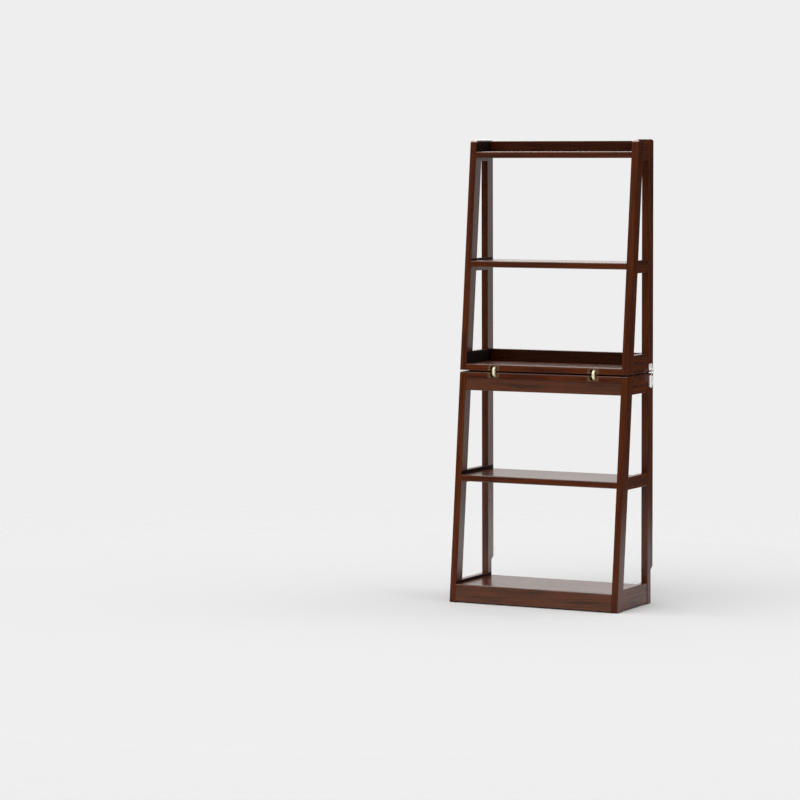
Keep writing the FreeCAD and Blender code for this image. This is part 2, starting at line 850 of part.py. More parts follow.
def make_leaf_recess(half, label):
    """Shape the recess of a leaf in the board's front edge."""
    low = f"{LEAF_END} - leaf_fit"
    high = "half_height + overrun"
    plate = band(half, low, high, sloping(half, "-overrun"), sloping(half, "leaf_thickness"))
    plate_width = "leaf_width + 2 * leaf_fit"
    pocket = band(half, low, high, sloping(half), upright(f"{CUP_BACK} + leaf_fit"))
    pocket_width = "cup_width + 2 * leaf_fit"
    corner = (far_corner(half), "leaf_corner")
    return [
        slab(f"{label}_plate_recess", "side", plate, centred(plate_width), plate_width, corner),
        slab(f"{label}_cup_recess", "side", pocket, centred(pocket_width), pocket_width),
    ]


def make_links():
    """Make the links that join the two pins of each hinge: arched in front, and flat behind so that
    they lie just under the boards' faces when the rack is folded."""
    label = "hinge_link"
    body = new_body(f"{label}_body")
    start = centred("link_width")
    pin_y = f"{FRONT_RUN} + {PIN_BACK}"
    out = "(link_length / 2 - link_round)"
    centre = f"({pin_y} - link_forward + sqrt(link_bow ^ 2 - {PIN_OUT} ^ 2))"
    sketch = draw_arch(
        body, f"{label}_outline", "side", centre, "(half_height + seam_gap / 2)",
        f"{centre} - sqrt(link_bow ^ 2 - {out} ^ 2)", out, "link_round", start)
    blank = pad(body, f"{label}_pad", sketch, "side", "link_width")
    rim = choose(blank, lambda edge: not runs(edge, X_AXIS))
    round_edges(body, f"{label}_rim", blank, rim, "link_edge")
    bores = [
        cylinder(f"{label}_{half}_bore", "pin_radius + pin_play", "link_width", "x", start, pin_y,
                 height(half, PIN_LEVEL))
        for half in ("lower", "upper")
    ]
    flat = f"{pin_y} + pin_drop - link_sink"
    past = f"{pin_y} + link_length"
    low = "half_height - link_length"
    high = "half_height + seam_gap + link_length"
    corners = [(flat, low), (past, low), (past, high), (flat, high)]
    behind = slab(f"{label}_behind", "side", corners, centred("cup_width"), "cup_width")
    keep_pair(label, cut(f"{label}_bored", body, behind, *bores))


# Latches on the side faces, over the rear posts

def latch_span(across):
    """Give the front side of something this wide that is centred on the latch."""
    return f"{POST_MIDDLE} - ({across}) / 2"


def make_plate(label, half, across, drop, tall, radius):
    """Make a flat plate on the side face, its near edge this far from the seam."""
    low = f"half_height - {drop} - {tall}"
    high = f"half_height - {drop}"
    near = upright(latch_span(across))
    rear = upright(f"{latch_span(across)} + {across}")
    corner = (lambda edge, box: runs(edge, X_AXIS), radius)
    corners = band(half, low, high, near, rear)
    return slab(label, "side", corners, "width", "latch_plate", corner)


def latch_screws(half, places):
    """Make the screws of a plate on the side face, and their holes."""
    pairs = []
    for index, (y, level) in enumerate(places, start=1):
        def set_in_side(item, y=y, level=level):
            turn(item, Y_AXIS, QUARTER_TURN)
            stand(item, "width + latch_plate", y, height(half, level))
        pairs.append(screw_pair(f"{half}_latch_screw_{index}", "latch", set_in_side))
    return [screw for screw, hole in pairs], [hole for screw, hole in pairs]


def make_latch_base():
    """Make the base plate with the ears that carry the lever."""
    plate = make_plate(
        "latch_base_plate", "lower", "latch_width", "latch_drop", "latch_height", "latch_corner")
    near = "width + latch_plate / 2"
    reach = "width + pivot_reach + ear_round"
    low = "half_height - pivot_drop - ear_round"
    high = "half_height - pivot_drop + ear_round"
    corners = [(near, low), (reach, low), (reach, high), (near, high)]

    def outer_corner(edge, box):
        return runs(edge, Y_AXIS) and near_limit(edge.CenterOfMass.x, box.XMax)

    rounding = (outer_corner, "ear_corner")
    rear_ear = f"{POST_MIDDLE} + ear_gap / 2"
    front_ear = f"{POST_MIDDLE} - ear_gap / 2 - ear_wall"
    ears = [
        slab(f"latch_{side}_ear", "face", corners, start, "ear_wall", rounding)
        for side, start in (("rear", rear_ear), ("front", front_ear))
    ]
    seat = cylinder(
        "latch_pivot_seat", "pivot_radius + pin_fit", "latch_width", "y",
        "width + pivot_reach", latch_span("latch_width"), "half_height - pivot_drop")
    places = (
        (POST_MIDDLE, "half_height - latch_screw_drop"),
        (POST_MIDDLE, "half_height - latch_drop - latch_height + latch_screw_inset"),
    )
    screws, holes = latch_screws("lower", places)
    base = fuse("latch_base_blank", [plate, *ears])
    keep_pair("latch_base", cut("latch_base_drilled", base, seat, *holes))
    keep_set("latch_base_screws", screws)
    length = "lever_width + 2 * pivot_overhang"
    pivot = cylinder(
        "latch_pivot", "pivot_radius", length, "y",
        "width + pivot_reach", latch_span(length), "half_height - pivot_drop")
    keep_set("latch_pivots", [pivot])
    return holes


def make_lever():
    """Make the channel-shaped lever: two cheeks joined by a web with a slot in it."""
    def at(reach, drop):
        return f"width + {reach}", f"half_height - ({drop})"

    crown = at("lever_reach - lever_shoulder", "lever_top_drop")
    shoulder = at("lever_reach", "lever_top_drop + lever_shoulder")
    tip = at("lever_tip_reach", "lever_tip_drop")
    tip_inside = at("lever_tip_reach - lever_wall", "lever_tip_drop")
    cheek = [
        at("pivot_reach - lever_cheek", "lever_top_drop + lever_wall"),
        crown,
        shoulder,
        tip,
        tip_inside,
        at("pivot_reach - lever_cheek", "loop_drop + 2 * lever_cheek"),
    ]
    shoulder_inside = at("lever_reach - lever_wall", "lever_top_drop + lever_shoulder")
    web = [shoulder, tip, tip_inside, shoulder_inside]
    front_side = latch_span("lever_width")
    rear_side = f"{front_side} + lever_width - lever_wall"
    pieces = [
        slab("latch_lever_front_cheek", "face", cheek, front_side, "lever_wall"),
        slab("latch_lever_rear_cheek", "face", cheek, rear_side, "lever_wall"),
        slab("latch_lever_web", "face", web, front_side, "lever_width"),
    ]
    pivot_bore = cylinder(
        "latch_lever_pivot_bore", "pivot_radius + pin_play", "latch_width", "y",
        "width + pivot_reach", latch_span("latch_width"), "half_height - pivot_drop")
    loop_bore = cylinder(
        "latch_lever_loop_bore", "wire_radius + pin_play", "latch_width", "y",
        "width + loop_reach", latch_span("latch_width"), "half_height - loop_drop")
    slot = new_body("latch_lever_slot")
    low = "half_height - lever_slot_bottom_drop"
    high = "half_height - lever_slot_top_drop"
    sketch = draw_capsule(
        slot, "latch_lever_slot_outline", "side", POST_MIDDLE, low, high, "lever_slot_radius",
        "width")
    pad(slot, "latch_lever_slot_pad", sketch, "side", "lever_reach + overrun")
    lever = fuse("latch_lever_blank", pieces)
    keep_pair("latch_lever", cut("latch_lever_bored", lever, pivot_bore, loop_bore, slot))


LOOP_HALF = "(lever_width / 2 + wire_room + wire_radius)"
LOOP_LENGTH = "(loop_drop + seam_gap + keeper_lift + hook_thickness + wire_radius + hook_room)"
LOOP_OUT = "(hook_reach + lip_room + wire_radius - loop_reach)"


def make_loop():
    """Bend the wire loop. It leans out just far enough to lie against the keeper's lip."""
    body = doc.addObject("PartDesign::Body", "latch_loop_wire")
    path = new_sketch(body, "latch_loop_path", "side")
    far = 4 * ROUGH
    top = rough_line(path, 0, far, ROUGH, far)
    top_bend = rough_arc(path, ROUGH, far - ROUGH, 0, pi / 2)
    arm = rough_line(path, 2 * ROUGH, far - ROUGH, 2 * ROUGH, ROUGH)
    low_bend = rough_arc(path, ROUGH, ROUGH, 3 * pi / 2, 2 * pi)
    stub = rough_line(path, ROUGH, 0, ROUGH / 2, 0)
    hold(path, top, 1, "0", LOOP_LENGTH)
    hold(path, top, 2, f"{LOOP_HALF} - wire_bend", LOOP_LENGTH)
    hold(path, arm, 1, LOOP_HALF, f"{LOOP_LENGTH} - wire_bend")
    hold(path, arm, 2, LOOP_HALF, "wire_bend")
    hold(path, stub, 1, f"{LOOP_HALF} - wire_bend", "0")
    hold(path, stub, 2, "lever_width / 2 - lever_wall - loop_stub", "0")
    path.addConstraint(Sketcher.Constraint("Coincident", top_bend, 2, top, 2))
    path.addConstraint(Sketcher.Constraint("Tangent", top_bend, 1, arm, 1))
    path.addConstraint(Sketcher.Constraint("Coincident", low_bend, 1, stub, 1))
    path.addConstraint(Sketcher.Constraint("Tangent", low_bend, 2, arm, 2))
    ring = new_sketch(body, "latch_loop_ring", "face")
    circle = ring.addGeometry(Part.Circle(FreeCAD.Vector(0, far, 0), Z_AXIS, ROUGH), False)
    hold(ring, circle, 3, "0", LOOP_LENGTH)
    hold_radius(ring, circle, "wire_radius")
    doc.recompute()
    pipe = body.newObject("PartDesign::AdditivePipe", "latch_loop_pipe")
    pipe.Profile = ring
    pipe.Spine = (path, [])
    doc.recompute()
    both = body.newObject("PartDesign::Mirrored", "latch_loop_both")
    both.Originals = [pipe]
    both.MirrorPlane = (plane(body, "face"), [""])
    body.Tip = both
    turn(body, Y_AXIS, QUARTER_TURN)
    bind(body, "Placement.Rotation.Angle", f"asin({LOOP_OUT} / {LOOP_LENGTH})")
    stand(body, "width + loop_reach", POST_MIDDLE, "half_height - loop_drop")
    keep_pair("latch_loop", body)


def make_keeper():
    """Make the keeper: a plate with a hook that opens upward, away from the seam."""
    plate = make_plate(
        "latch_keeper_plate", "upper", "keeper_width", "keeper_lift", "keeper_height",
        "keeper_corner")
    low = "half_height + seam_gap + keeper_lift"
    reach = "width + hook_reach"
    corners = [
        ("width", low),
        (reach, low),
        (reach, f"{low} + hook_rise"),
        (f"{reach} - hook_thickness", f"{low} + hook_rise"),
        (f"{reach} - hook_thickness", f"{low} + hook_thickness"),
        ("width", f"{low} + hook_thickness"),
    ]

    def outer_bend(edge, box):
        at_reach = near_limit(edge.CenterOfMass.x, box.XMax)
        return runs(edge, Y_AXIS) and at_reach and near_limit(edge.CenterOfMass.z, box.ZMin)

    start = latch_span("hook_width")
    hook = slab("latch_keeper_hook", "face", corners, start, "hook_width", (outer_bend, "hook_bend"))
    level = "half_height - keeper_lift - keeper_screw_lift"
    places = (
        (f"{POST_MIDDLE} - keeper_screw_gap / 2", level),
        (f"{POST_MIDDLE} + keeper_screw_gap / 2", level),
    )
    screws, holes = latch_screws("upper", places)
    keeper = fuse("latch_keeper_blank", [plate, hook])
    keep_pair("latch_keeper", cut("latch_keeper_drilled", keeper, *holes))
    keep_set("latch_keeper_screws", screws)
    return holes


# The whole rack

def with_mirror(tools, label):
    """Add the left-hand images of cutting shapes."""
    right = fuse(f"{label}_right_cuts", tools)
    return [right, mirror(f"{label}_left_cuts", right)]


def make_rack():
    """Make both halves and what joins them."""
    post_holes = {"lower": make_latch_base(), "upper": make_keeper()}
    for half in ("lower", "upper"):
        right_holes, all_holes = make_dowels(half)
        make_frame(half, right_holes, post_holes[half])
        hinge_cuts = with_mirror(make_leaf(half), f"{half}_hinge")
        make_boards(half, all_holes, hinge_cuts)
        make_pads(half)
    make_links()
    make_lever()
    make_loop()


def check_and_write():
    """Stop at any failed item or unsound sub-part, then write one file for each sub-part."""
    doc.recompute()
    for item in doc.Objects:
        faults = [word for word in ("Invalid", "Error") if word in item.State]
        if faults:
            raise RuntimeError(f"{item.Label} is {faults}")
    for label, item in nodes.items():
        if item.Shape.isNull() or not item.Shape.isValid() or not item.Shape.Solids:
            raise RuntimeError(f"{label} has no sound shape")
    os.makedirs("parts", exist_ok=True)
    for label, item in nodes.items():
        item.Shape.exportStep(f"parts/{label}.step")
        print(label, len(item.Shape.Solids), round(item.Shape.Volume))
    print(len(nodes), "sub-parts")


make_rack()
check_and_write()
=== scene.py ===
import json
from math import atan2, cos, pi, radians, sin

import bmesh
import bpy
from mathutils import Euler, Matrix, Vector


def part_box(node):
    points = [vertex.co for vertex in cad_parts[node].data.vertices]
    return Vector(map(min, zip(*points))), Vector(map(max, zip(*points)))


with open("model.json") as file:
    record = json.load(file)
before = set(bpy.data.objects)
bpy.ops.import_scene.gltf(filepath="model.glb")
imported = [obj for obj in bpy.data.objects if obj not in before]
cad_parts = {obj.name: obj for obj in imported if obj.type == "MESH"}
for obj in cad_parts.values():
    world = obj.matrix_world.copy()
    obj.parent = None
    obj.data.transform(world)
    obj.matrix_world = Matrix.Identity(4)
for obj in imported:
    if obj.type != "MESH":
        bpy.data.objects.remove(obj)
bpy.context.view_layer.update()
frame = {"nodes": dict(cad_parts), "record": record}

# A folding display rack of dark walnut with brass hinges and nickel latches. Every shape is the packed
# model's own; this script gives each piece its finish and sets up the floor, the light and the camera.

nodes = frame["nodes"]

# How far the front legs lean back over the height of one half. All lengths are in metres.
LEAN_RUN = 0.079996
LEAN_RISE = 0.750
LEAN = atan2(LEAN_RUN, LEAN_RISE)
QUARTER = radians(90)

# Turns that bring the grain of a piece onto the pattern's own X
GRAIN_TURNS = {
    "across": (0.0, 0.0, 0.0),
    "upright": (0.0, QUARTER, 0.0),
    "leaning": (LEAN, QUARTER, 0.0),
    "front to back": (0.0, 0.0, -QUARTER),
}


# Sockets of Blender's colour mixer, which gives several sockets the same name
MIX_SHARE = 0
MIX_FIRST = 6
MIX_SECOND = 7
MIX_RESULT = 2

# How a worn edge and a covered face are told from an open one
EDGE_SAMPLES = 4
EDGE_RANGE = (1.0, 0.85)
COVER_SAMPLES = 8
COVER_RANGE = (0.75, 0.35)


class Finish:
    """A material that is being put together from nodes, around one surface shader."""

    def __init__(self, name):
        self.material = bpy.data.materials.new(name)
        self.material.use_nodes = True
        self.tree = self.material.node_tree
        self.tree.nodes.clear()
        self.surface = self.add("ShaderNodeBsdfPrincipled")
        self.output = self.add("ShaderNodeOutputMaterial")
        self.join(self.surface.outputs["BSDF"], self.output.inputs["Surface"])
        self.place = self.add("ShaderNodeTexCoord").outputs["Object"]

    def add(self, kind, **settings):
        """Add a node, set its own settings and give it back."""
        node = self.tree.nodes.new(kind)
        for key, value in settings.items():
            setattr(node, key, value)
        return node

    def join(self, source, target):
        self.tree.links.new(source, target)

    def moved(self, source, shift=(0, 0, 0), turn=(0, 0, 0), stretch=(1, 1, 1)):
        """Turn, shift and stretch a pattern's place."""
        node = self.add("ShaderNodeMapping")
        node.inputs["Location"].default_value = shift
        node.inputs["Rotation"].default_value = turn
        node.inputs["Scale"].default_value = stretch
        self.join(source, node.inputs["Vector"])
        return node.outputs["Vector"]

    def noise(self, place, scale, detail=3.0, roughness=0.5):
        """Give a soft random pattern."""
        node = self.add("ShaderNodeTexNoise")
        self.join(place, node.inputs["Vector"])
        node.inputs["Scale"].default_value = scale
        node.inputs["Detail"].default_value = detail
        node.inputs["Roughness"].default_value = roughness
        return node.outputs["Fac"]

    def spread(self, value, low, high, to_low=0.0, to_high=1.0):
        """Map a value from one range onto another, held at its ends."""
        node = self.add("ShaderNodeMapRange")
        self.join(value, node.inputs["Value"])
        node.inputs["From Min"].default_value = low
        node.inputs["From Max"].default_value = high
        node.inputs["To Min"].default_value = to_low
        node.inputs["To Max"].default_value = to_high
        return node.outputs["Result"]

    def between(self, value, low, high, blend):
        """Give 1 where a value lies between two ends and 0 beyond, with a short blend inside each."""
        return self.times(self.spread(value, low, low + blend), self.spread(value, high, high - blend))

    def blend(self, share, first, second, how="MIX"):
        """Mix two colours; each is a colour or a socket, and so is the share."""
        node = self.add("ShaderNodeMix", data_type="RGBA", blend_type=how)
        for number, value in ((MIX_SHARE, share), (MIX_FIRST, first), (MIX_SECOND, second)):
            socket = node.inputs[number]
            if hasattr(value, "links"):
                self.join(value, socket)
            else:
                socket.default_value = value if isinstance(value, float) else (*value, 1.0)
        return node.outputs[MIX_RESULT]

    def reckon(self, how, first, second=0.0):
        """Work out a number from a socket and a second socket or plain number."""
        node = self.add("ShaderNodeMath", operation=how)
        self.join(first, node.inputs[0])
        if hasattr(second, "links"):
            self.join(second, node.inputs[1])
        else:
            node.inputs[1].default_value = second
        return node.outputs[0]

    def times(self, first, second):
        return self.reckon("MULTIPLY", first, second)

    def plus(self, first, second):
        return self.reckon("ADD", first, second)

    def edges(self, reach):
        """Give how near a point lies to a sharp edge, from its true normal and a rounded one."""
        bevel = self.add("ShaderNodeBevel", samples=EDGE_SAMPLES)
        bevel.inputs["Radius"].default_value = reach
        geometry = self.add("ShaderNodeNewGeometry")
        dot = self.add("ShaderNodeVectorMath", operation="DOT_PRODUCT")
        self.join(bevel.outputs["Normal"], dot.inputs[0])
        self.join(geometry.outputs["Normal"], dot.inputs[1])
        return self.spread(dot.outputs["Value"], *EDGE_RANGE)

    def covered(self, distance):
        """Give how much of the sky over a point is hidden by something within the distance."""
        sky = self.add("ShaderNodeAmbientOcclusion", samples=COVER_SAMPLES)
        sky.inputs["Distance"].default_value = distance
        return self.spread(sky.outputs["AO"], *COVER_RANGE)

    def relief(self, height, depth, strength=0.5):
        """Raise the surface by a pattern's height."""
        bump = self.add("ShaderNodeBump")
        bump.inputs["Strength"].default_value = strength
        bump.inputs["Distance"].default_value = depth
        self.join(height, bump.inputs["Height"])
        self.join(bump.outputs["Normal"], self.surface.inputs["Normal"])

    def paint(self, colour):
        self.join(colour, self.surface.inputs["Base Color"])

    def polish(self, roughness):
        self.join(roughness, self.surface.inputs["Roughness"])

    def fix(self, **values):
        """Set plain numbers and colours on the surface shader's own sockets."""
        for key, value in values.items():
            self.surface.inputs[key.replace("_", " ")].default_value = value


WALNUT_DARK = (0.048, 0.0084, 0.0014)
WALNUT_MIDDLE = (0.116, 0.0228, 0.0036)
WALNUT_LIGHT = (0.170, 0.0385, 0.0075)
WALNUT_WORN = (0.190, 0.052, 0.014)
# Painted shade for the seam's covered faces
WALNUT_SEAM_SHADE = (0.200, 0.085, 0.050)
# Painted shade for the frames' inner faces
WALNUT_PAINTED_SHADE = (0.012, 0.0030, 0.0012)
# Painted highlight for the upper legs' tops
WALNUT_PAINTED_HIGHLIGHT = (0.80, 0.62, 0.58)
WALNUT_IOR = 1.45

# Growth rings, drawn out along the grain
RING_STRETCH = (0.07, 1.0, 1.0)
RING_SETTINGS = {
    "Scale": 42.0,
    "Distortion": 5.0,
    "Detail": 3.0,
    "Detail Scale": 0.9,
    "Detail Roughness": 0.55,
}

# Scale, detail and roughness of each finer pattern
FIBRE_STRETCH = (0.022, 1.0, 1.0)
FIBRE_NOISE = (620.0, 3.0, 0.6)
STREAK_NOISE = (70.0, 4.0, 0.62)
PATCH_NOISE = (9.0, 2.0, 0.5)
PORE_NOISE = (1500.0, 1.0, 0.4)
HIGHLIGHT_NOISE = (400.0, 3.0, 0.6)

# Where each pattern sets in and is full, and then what it gives at those two ends
RING_RANGE = (0.15, 1.0)
STREAK_RANGE = (0.45, 0.68)
FIBRE_RANGE = (0.35, 0.75, 0.0, 0.45)
PATCH_RANGE = (0.3, 0.7, 0.0, 0.35)
PORE_RANGE = (0.34, 0.25)
HIGHLIGHT_RANGE = (0.25, 0.55, 0.55, 1.0)
SATIN_RANGE = (0.3, 0.7, 0.20, 0.27)
GLOSS_RANGE = (0.0, 1.0, 0.5, 0.0)

# How strongly pores, worn edges and matt places show
PORE_DARK_SHARE = 0.55
PORE_ROUGH_SHARE = 0.14
EDGE_REACH = 0.0012
EDGE_WEAR_SHARE = 0.35
MATT_ROUGH_SHARE = 0.6

# Height of each pattern in the wood's slight relief
FIBRE_HEIGHT_SHARE = 0.4
STREAK_HEIGHT_SHARE = 0.35
PORE_HEIGHT_SHARE = 0.8
WALNUT_RELIEF = 0.00004

# Painted shade in the seam: while the other half covers the seam's faces, an occlusion mask paints them
# dull brown and takes their gloss, and once they are open they are glossy again
SEAM_LOW = 0.7496
SEAM_HIGH = 0.7554
SEAM_BLEND = 0.0003
SEAM_REACH = 0.04
SEAM_SHADE_SHARE = 0.65

# Painted shade: above each shelf the inner faces of the side frames are painted nearly black and matt,
# up to the rail's top
FRAME_INSIDE = 0.2778
FRAME_BLEND = 0.0002
BAND_BLEND = 0.0008
BAND_MATT_SHARE = 0.75
PAINTED_SHADE_BANDS = {
    "lower": ((0.060, 0.070), (0.415, 0.428)),
    "upper": ((0.776, 0.815), (1.111, 1.118), (1.466, 1.506)),
}

# A painted highlight on the front edges of the upper legs' tops, standing in for overhead light glinting
# on their rounding
HIGHLIGHT_LOW = 1.4966
HIGHLIGHT_HIGH = 1.5048
HIGHLIGHT_BACK = 0.0262
HIGHLIGHT_BLEND = 0.0012

# A painted sheen on the lowest fronts, standing in for the pale floor's reflection: this much is added
# to their colour
PAINTED_SHEEN_TINT = (0.006, 0.019, 0.018)
PAINTED_SHEEN_SHARES = {"lower_front_apron": 0.8, "lower_front_plinth": 1.0}


def figure(wood, turned):
    """Give the bare wood's colour, and its patterns of fibres, streaks and pores by themselves."""
    along = wood.moved(turned, stretch=RING_STRETCH)
    rings = wood.add(
        "ShaderNodeTexWave", wave_type="RINGS", rings_direction="X", wave_profile="SAW")
    wood.join(along, rings.inputs["Vector"])
    for key, value in RING_SETTINGS.items():
        rings.inputs[key].default_value = value
    fine = wood.moved(turned, stretch=FIBRE_STRETCH)
    fibre = wood.noise(fine, *FIBRE_NOISE)
    streak = wood.noise(along, *STREAK_NOISE)
    patch = wood.noise(along, *PATCH_NOISE)
    pores = wood.spread(wood.noise(fine, *PORE_NOISE), *PORE_RANGE)
    light = wood.blend(wood.spread(rings.outputs["Fac"], *RING_RANGE), WALNUT_LIGHT, WALNUT_MIDDLE)
    streaked = wood.blend(wood.spread(streak, *STREAK_RANGE), light, WALNUT_DARK)
    body = wood.blend(wood.spread(fibre, *FIBRE_RANGE), streaked, WALNUT_DARK)
    shaded = wood.blend(wood.spread(patch, *PATCH_RANGE), body, WALNUT_DARK)
    colour = wood.blend(wood.times(pores, PORE_DARK_SHARE), shaded, WALNUT_DARK)
    return colour, fibre, streak, pores


def walnut(name, grain, shift, tilt, tone, sheen_share, shade_bands, top_highlight):
    """Dark walnut under satin lacquer with worn edges, and with painted shade, painted sheen and a
    painted highlight where it is given them.
    """
    wood = Finish(name)
    turned = wood.moved(wood.place, shift, GRAIN_TURNS[grain])
    colour, fibre, streak, pores = figure(wood, wood.moved(turned, turn=(0.0, tilt, tilt)))
    colour = wood.blend(wood.times(wood.edges(EDGE_REACH), EDGE_WEAR_SHARE), colour, WALNUT_WORN)
    colour = wood.blend(1.0, colour, (tone, tone, tone), "MULTIPLY")
    # Painted sheen of the floor's reflection on the lowest fronts
    if sheen_share:
        colour = wood.blend(sheen_share, colour, PAINTED_SHEEN_TINT, "ADD")
    split = wood.add("ShaderNodeSeparateXYZ")
    wood.join(wood.place, split.inputs["Vector"])
    across, back, up = (split.outputs[axis] for axis in "XYZ")
    # Painted shade where the other half covers the seam's faces
    matt = wood.times(wood.between(up, SEAM_LOW, SEAM_HIGH, SEAM_BLEND), wood.covered(SEAM_REACH))
    colour = wood.blend(wood.times(matt, SEAM_SHADE_SHARE), colour, WALNUT_SEAM_SHADE)
    # Painted shade, nearly black, on the frames' inner faces above each shelf
    for low, high in shade_bands:
        aside = wood.reckon("ABSOLUTE", across)
        inside = wood.spread(aside, FRAME_INSIDE, FRAME_INSIDE - FRAME_BLEND)
        painted_shade = wood.times(inside, wood.between(up, low - BAND_BLEND, high, BAND_BLEND))
        colour = wood.blend(painted_shade, colour, WALNUT_PAINTED_SHADE)
        matt = wood.reckon("MAXIMUM", matt, wood.times(painted_shade, BAND_MATT_SHARE))
    # Painted highlight on the front rounding of the upper legs' tops, broken up by noise
    if top_highlight:
        front = wood.spread(back, HIGHLIGHT_BACK, HIGHLIGHT_BACK - HIGHLIGHT_BLEND)
        highlight_band = wood.times(wood.between(up, HIGHLIGHT_LOW, HIGHLIGHT_HIGH, HIGHLIGHT_BLEND), front)
        uneven = wood.spread(wood.noise(wood.place, *HIGHLIGHT_NOISE), *HIGHLIGHT_RANGE)
        colour = wood.blend(wood.times(highlight_band, uneven), colour, WALNUT_PAINTED_HIGHLIGHT)
    wood.paint(colour)
    satin = wood.plus(wood.spread(streak, *SATIN_RANGE), wood.times(pores, PORE_ROUGH_SHARE))
    wood.polish(wood.plus(satin, wood.times(matt, MATT_ROUGH_SHARE)))
    wood.join(wood.spread(matt, *GLOSS_RANGE), wood.surface.inputs["Specular IOR Level"])
    grainy = wood.plus(wood.times(fibre, FIBRE_HEIGHT_SHARE), wood.times(streak, STREAK_HEIGHT_SHARE))
    wood.relief(wood.reckon("SUBTRACT", grainy, wood.times(pores, PORE_HEIGHT_SHARE)), WALNUT_RELIEF)
    wood.fix(IOR=WALNUT_IOR)
    return wood.material


# Beech of the dowels
BEECH_PALE = (0.42, 0.24, 0.12)
BEECH_BROWN = (0.24, 0.12, 0.055)
BEECH_SHADE = (0.20, 0.10, 0.05)
BEECH_STRETCH = (0.1, 1.0, 1.0)
FLECK_NOISE = (400.0, 3.0, 0.6)
FLECK_RANGE = (0.35, 0.7)
SHADE_NOISE = (60.0,)
SHADE_RANGE = (0.3, 0.7, 0.0, 0.3)
BEECH_ROUGH_RANGE = (0.3, 0.7, 0.55, 0.7)
BEECH_RELIEF = 0.0001

# Rubber of the seam pads
RUBBER_BLACK = (0.012, 0.010, 0.009)
RUBBER_BLOOMED = (0.030, 0.026, 0.023)
SKIN_NOISE = (2600.0, 2.0)
BLOOM_NOISE = (140.0, 3.0)
BLOOM_RANGE = (0.35, 0.7)
RUBBER_ROUGH_RANGE = (0.3, 0.7, 0.72, 0.86)
RUBBER_RELIEF = 0.00008

# Nylon of the washers
NYLON_DARK = (0.020, 0.011, 0.006)
NYLON_MARKED = (0.038, 0.021, 0.012)
NYLON_STRETCH = (6.0, 1.0, 1.0)
MARK_NOISE = (1500.0, 2.0)
MARK_RANGE = (0.35, 0.7)
NYLON_ROUGH_RANGE = (0.3, 0.7, 0.42, 0.55)
NYLON_RELIEF = 0.00004
NYLON_RELIEF_SHARE = 0.4

# Metals: scratches, tarnish in clouds, spots, and edges worn bare
SCRATCH_NOISE = (1800.0, 3.0, 0.6)
SCRATCH_RANGE = (0.3, 0.8, 0.0, 0.35)
SCRATCH_ROUGH_SHARE = 0.5
CLOUD_NOISE = (190.0, 4.0, 0.6)
CLOUD_RANGE = (0.38, 0.70)
SPOT_NOISE = (900.0, 2.0)
SPOT_RANGE = (0.62, 0.72)
SPOT_DULL_SHARE = 0.3
METAL_EDGE_REACH = 0.0005
METAL_WEAR_SHARE = 0.6
METAL_ROUGH_RANGE = (0.5, 1.1)
METAL_RELIEF = 0.00001


def beech(name):
    """Plain beech, with short flecks along the grain."""
    wood = Finish(name)
    along = wood.moved(wood.place, turn=GRAIN_TURNS["upright"], stretch=BEECH_STRETCH)
    fleck = wood.noise(along, *FLECK_NOISE)
    patch = wood.noise(wood.place, *SHADE_NOISE)
    body = wood.blend(wood.spread(fleck, *FLECK_RANGE), BEECH_PALE, BEECH_BROWN)
    wood.paint(wood.blend(wood.spread(patch, *SHADE_RANGE), body, BEECH_SHADE))
    wood.polish(wood.spread(fleck, *BEECH_ROUGH_RANGE))
    wood.relief(fleck, BEECH_RELIEF)
    return wood.material


def rubber(name):
    """Matt rubber with a fine moulded skin and a pale bloom."""
    pad = Finish(name)
    bloom = pad.noise(pad.place, *BLOOM_NOISE)
    pad.paint(pad.blend(pad.spread(bloom, *BLOOM_RANGE), RUBBER_BLACK, RUBBER_BLOOMED))
    pad.polish(pad.spread(bloom, *RUBBER_ROUGH_RANGE))
    pad.relief(pad.noise(pad.place, *SKIN_NOISE), RUBBER_RELIEF)
    return pad.material


def nylon(name):
    """Dark nylon with faint turning marks."""
    washer = Finish(name)
    marks = washer.noise(washer.moved(washer.place, stretch=NYLON_STRETCH), *MARK_NOISE)
    washer.paint(washer.blend(washer.spread(marks, *MARK_RANGE), NYLON_DARK, NYLON_MARKED))
    washer.polish(washer.spread(marks, *NYLON_ROUGH_RANGE))
    washer.relief(marks, NYLON_RELIEF, NYLON_RELIEF_SHARE)
    return washer.material


